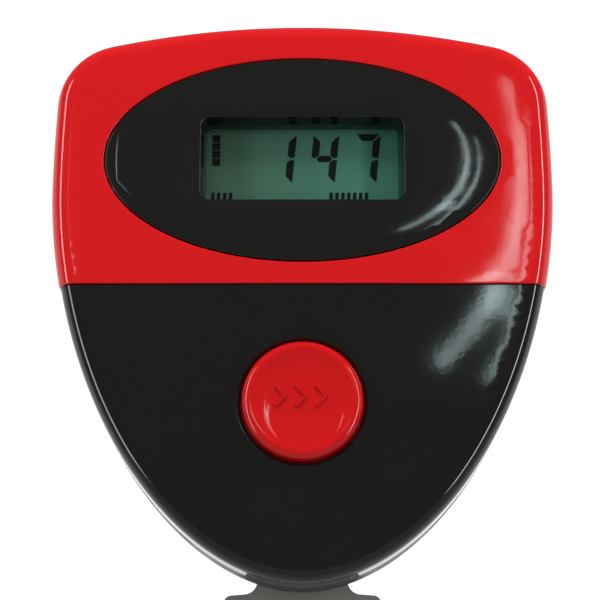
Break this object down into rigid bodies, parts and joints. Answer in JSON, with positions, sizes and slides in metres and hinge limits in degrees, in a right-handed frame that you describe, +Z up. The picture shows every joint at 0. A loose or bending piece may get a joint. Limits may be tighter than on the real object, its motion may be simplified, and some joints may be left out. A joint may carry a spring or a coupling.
{
  "type": "exercise machine counter console",
  "caption": "Battery-powered LCD counter console with a red top cover, oval display bezel and one push button, on a sheet-steel bracket with a flat foot.",
  "frame": {"origin": "centre of the underside of the bracket's flat foot", "axes": "+Z up, +X to the right of someone facing the display, -Y towards that person; the display face leans back 30 degrees"},
  "size_m": [0.11, 0.0798, 0.1388],
  "materials": {
    "gloss_red": "glossy injection-moulded ABS, signal red",
    "gloss_black": "glossy injection-moulded ABS, black",
    "black_plastic": "finely textured black ABS",
    "window_clear": "clear polished acrylic pane",
    "lcd_glass": "LCD glass with polariser, grey-green",
    "reflector_foil": "diffuse metallised foil",
    "white_plastic": "white moulded plastic",
    "silicone": "translucent grey silicone rubber",
    "board_green": "green solder mask on glass-epoxy board",
    "black_epoxy": "black epoxy and sleeving",
    "carbon_rubber": "conductive carbon rubber",
    "cell_wrap": "printed blue sleeve, plain",
    "nickel_plate": "nickel-plated spring steel",
    "red_lead": "red wire insulation",
    "black_lead": "black wire insulation",
    "screw_steel": "zinc-plated steel",
    "bracket_grey": "grey powder coat over 2 mm sheet steel"
  },
  "bodies": {
    "console": {"top_cover": "gloss_red", "display_bezel": "gloss_black", "front_shell": "gloss_black", "rear_shell": "black_plastic", "sensor_jack": "black_plastic", "display_window": "window_clear", "lcd_front_glass": "lcd_glass", "lcd_back_glass": "lcd_glass", "lcd_reflector": "reflector_foil", "lcd_frame": "white_plastic", "zebra_strip_upper": "silicone", "zebra_strip_lower": "silicone", "button_dome": "silicone", "circuit_board": "board_green", "chip_blob": "black_epoxy", "capacitor_1": "black_epoxy", "capacitor_2": "black_epoxy", "battery_cell": "cell_wrap", "battery_spring": "nickel_plate", "battery_contact": "nickel_plate", "quartz_crystal": "nickel_plate", "battery_lead_positive": "red_lead", "battery_lead_negative": "black_lead", "board_screw_1": "screw_steel", "board_screw_2": "screw_steel", "board_screw_3": "screw_steel", "board_screw_4": "screw_steel", "case_screw_1": "screw_steel", "case_screw_2": "screw_steel", "case_screw_3": "screw_steel", "case_screw_4": "screw_steel", "bracket_screw_1": "screw_steel", "bracket_screw_2": "screw_steel", "bracket_washer_1": "screw_steel", "bracket_washer_2": "screw_steel", "bracket": "bracket_grey"},
    "mode_button": {"mode_button": "gloss_red", "contact_pill": "carbon_rubber"},
    "battery_door": {"battery_door": "black_plastic"}
  },
  "joints": [
    {"name": "mode_button_press", "type": "slide", "parent": "console", "child": "mode_button", "axis": [0, 0.866, -0.5], "range_m": [0, 0.0012], "stiffness_N_per_m": 1250, "deforming": ["button_dome"]},
    {"name": "battery_door_hinge", "type": "hinge", "parent": "console", "child": "battery_door", "pos_m": [0, 0.02137, 0.09139], "axis": [-1, 0, 0], "range_deg": [0, 95]}
  ]
}
